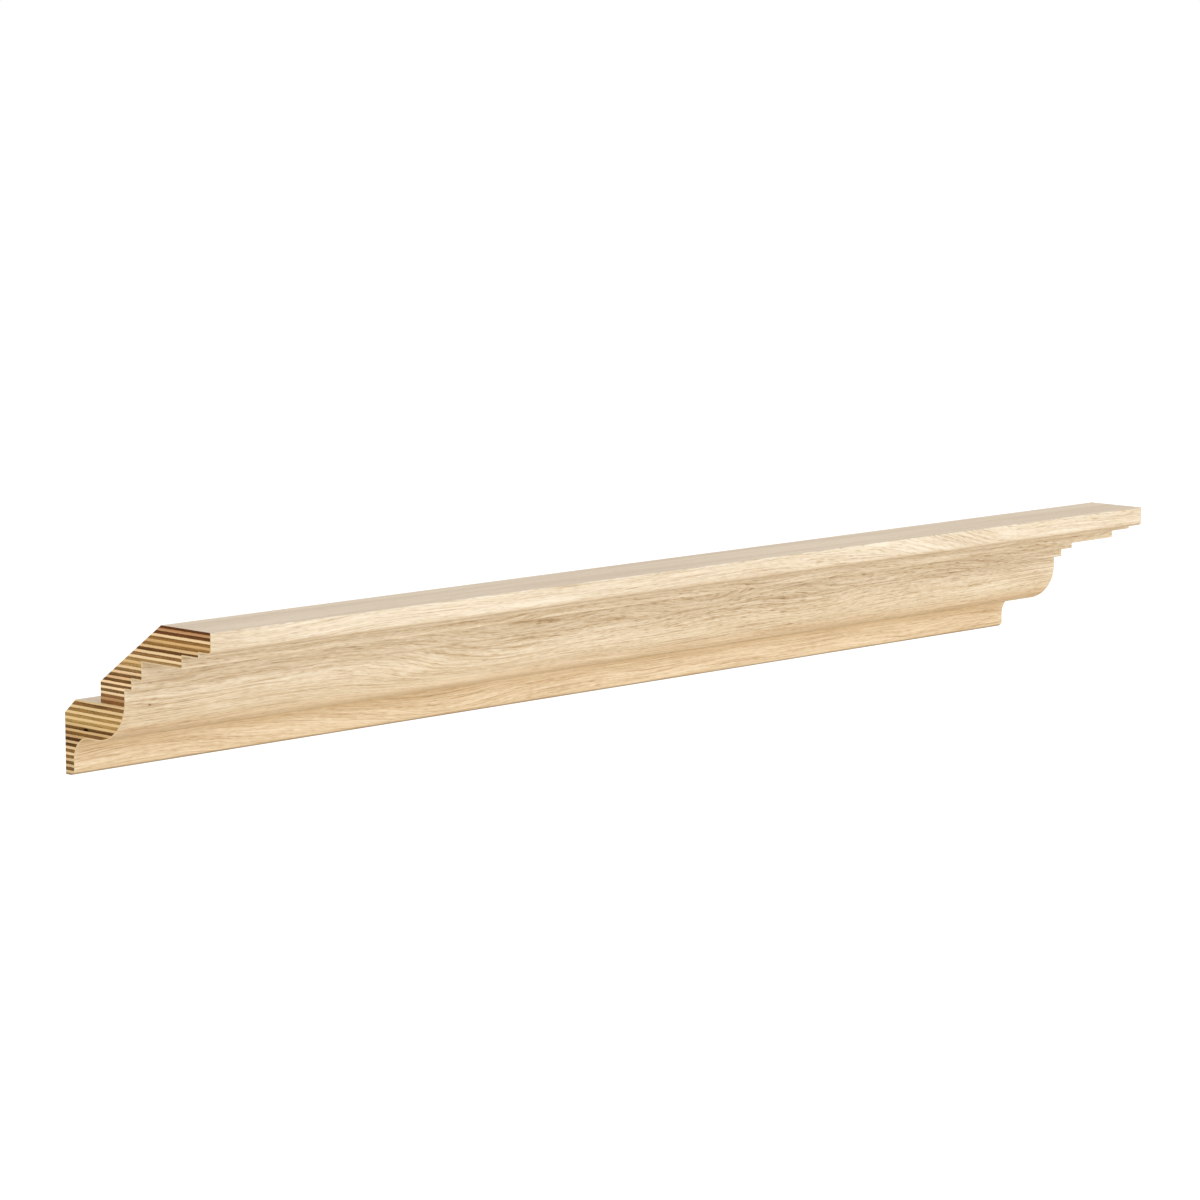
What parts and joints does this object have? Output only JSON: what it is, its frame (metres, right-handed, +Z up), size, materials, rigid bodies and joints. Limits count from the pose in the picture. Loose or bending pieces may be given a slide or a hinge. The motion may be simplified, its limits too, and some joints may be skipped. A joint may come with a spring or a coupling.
{
  "type": "crown moulding piece",
  "caption": "Straight veneered crown moulding with a stepped cove and ovolo front, a diagonal back and square-cut ends, fixed where a wall or cabinet meets the ceiling.",
  "frame": {"origin": "middle of the foot's back face, halfway along the moulding, in the wall plane", "axes": "+X along the moulding, +Y into the wall, +Z up to the ceiling; the profile projects towards -Y"},
  "size_m": [0.6668, 0.1044, 0.0762],
  "materials": {
    "plywood": "sawn and sanded layered plywood, bare, its dark and pale layers showing at the ends and the back",
    "oak": "pale unfinished oak veneer with its grain along the moulding, matt"
  },
  "bodies": {
    "root": {"plywood_core": "plywood", "oak_veneer": "oak"}
  },
  "joints": []
}
